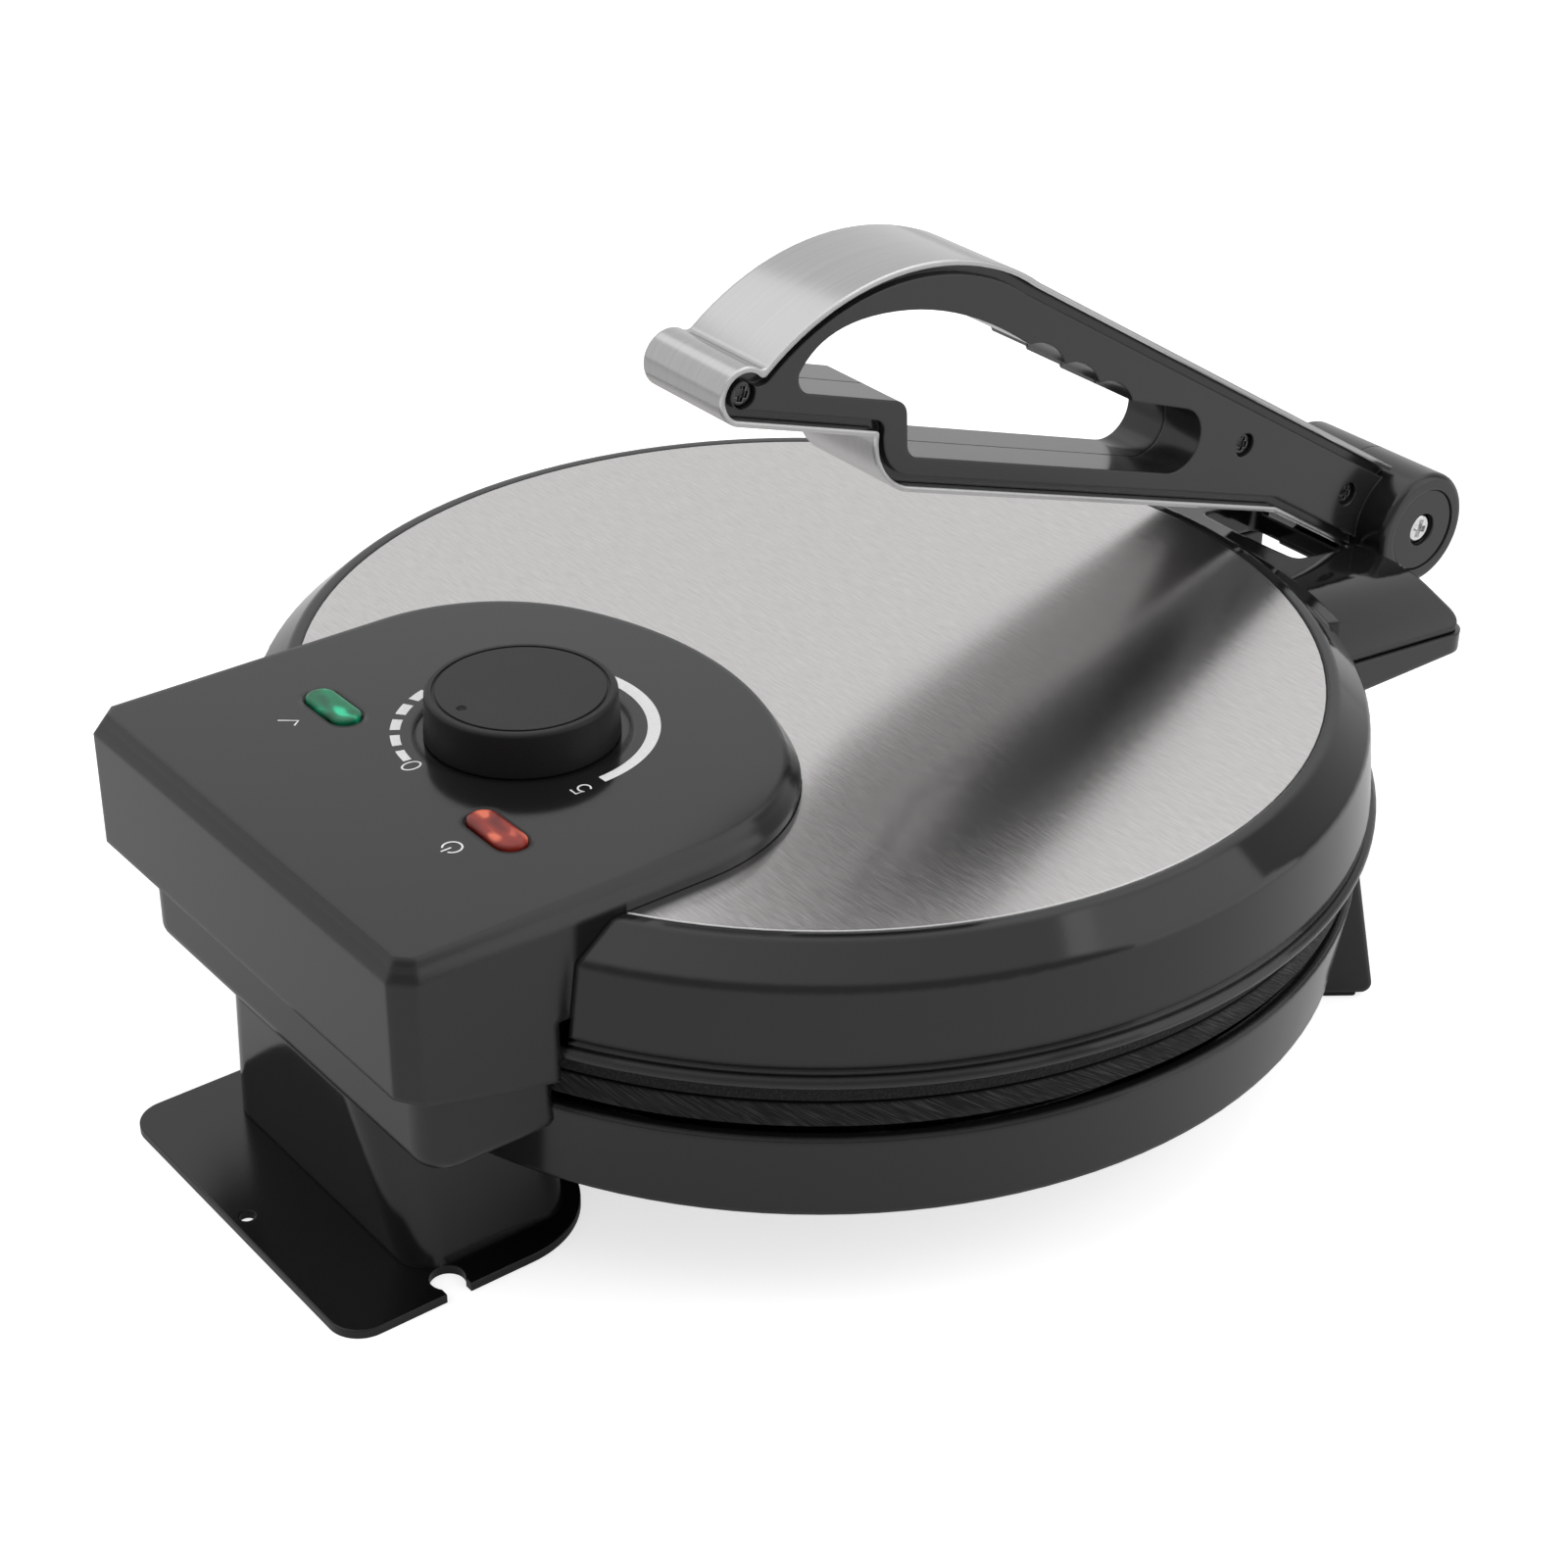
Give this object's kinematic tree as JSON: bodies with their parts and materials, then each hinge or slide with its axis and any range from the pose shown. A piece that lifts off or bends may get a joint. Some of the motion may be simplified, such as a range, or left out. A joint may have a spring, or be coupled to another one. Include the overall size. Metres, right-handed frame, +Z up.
{
  "type": "electric flatbread press",
  "caption": "Round electric flatbread press: hinged lid over a round base, console with dial and lamps at the back, fold-back press lever at the front.",
  "frame": {"origin": "on the surface it stands on, under the middle of its outer box", "axes": "+Z up, +Y from the user's lever end towards the console, +X towards the cord inlet's side"},
  "size_m": [0.308, 0.4226, 0.2176],
  "materials": {
    "gloss_black": "glossy",
    "satin_black": "satin",
    "grip_black": "satin",
    "knob_black": "matte",
    "lid_steel": "brushed",
    "strap_metal": "polished",
    "nonstick": "coated",
    "sheet_steel": "plain",
    "painted_steel": "satin",
    "bright_screw": "bright",
    "dark_screw": "black zinc",
    "green_lens": "translucent",
    "red_lens": "translucent",
    "black_rubber": "matte",
    "inner_plastic": "plain"
  },
  "bodies": {
    "base": {"base_shell": "satin_black", "bottom_cover": "painted_steel", "bottom_cover_screws": "dark_screw", "lower_heating_plate": "nonstick", "lower_heating_element": "sheet_steel", "lower_heat_shield": "sheet_steel", "lower_plate_studs": "sheet_steel", "front_leg_left": "satin_black", "front_leg_right": "satin_black", "leg_pads": "black_rubber", "rear_housing": "satin_black", "support_column": "satin_black", "foot_plate": "painted_steel", "foot_plate_screws": "dark_screw", "hinge_bracket_left": "sheet_steel", "hinge_bracket_right": "sheet_steel", "hinge_bracket_screws": "dark_screw", "hinge_pin": "sheet_steel", "cord_gland": "black_rubber"},
    "lid": {"hinge_leaf": "sheet_steel", "lid_ring": "gloss_black", "lid_cover": "lid_steel", "lid_frame": "sheet_steel", "upper_heating_plate": "nonstick", "upper_heating_element": "sheet_steel", "upper_plate_studs": "sheet_steel", "console_cover": "satin_black", "console_floor": "satin_black", "thermostat_body": "inner_plastic", "thermostat_nut": "sheet_steel", "green_lens": "green_lens", "red_lens": "red_lens", "lamp_holders": "inner_plastic", "nose_upper": "gloss_black", "nose_lower": "gloss_black", "nose_screws": "dark_screw"},
    "lever": {"lever_strap": "strap_metal", "lever_shell_left": "grip_black", "lever_shell_right": "grip_black", "lever_screws": "dark_screw", "pivot_axle": "sheet_steel", "pivot_caps": "grip_black", "pivot_screws": "bright_screw"},
    "knob": {"control_knob": "knob_black", "thermostat_shaft": "sheet_steel"}
  },
  "joints": [
    {"name": "lid_hinge", "type": "hinge", "parent": "base", "child": "lid", "pos_m": [0, 0.19375, 0.0781], "axis": [-1, 0, 0], "range_deg": [0, 90]},
    {"name": "lever_pivot", "type": "hinge", "parent": "lid", "child": "lever", "pos_m": [0, -0.19335, 0.0903], "axis": [1, 0, 0], "range_deg": [0, 150]},
    {"name": "dial_turn", "type": "hinge", "parent": "lid", "child": "knob", "pos_m": [0, 0.11815, 0.1203], "axis": [0, 0, -1], "range_deg": [0, 270]}
  ]
}
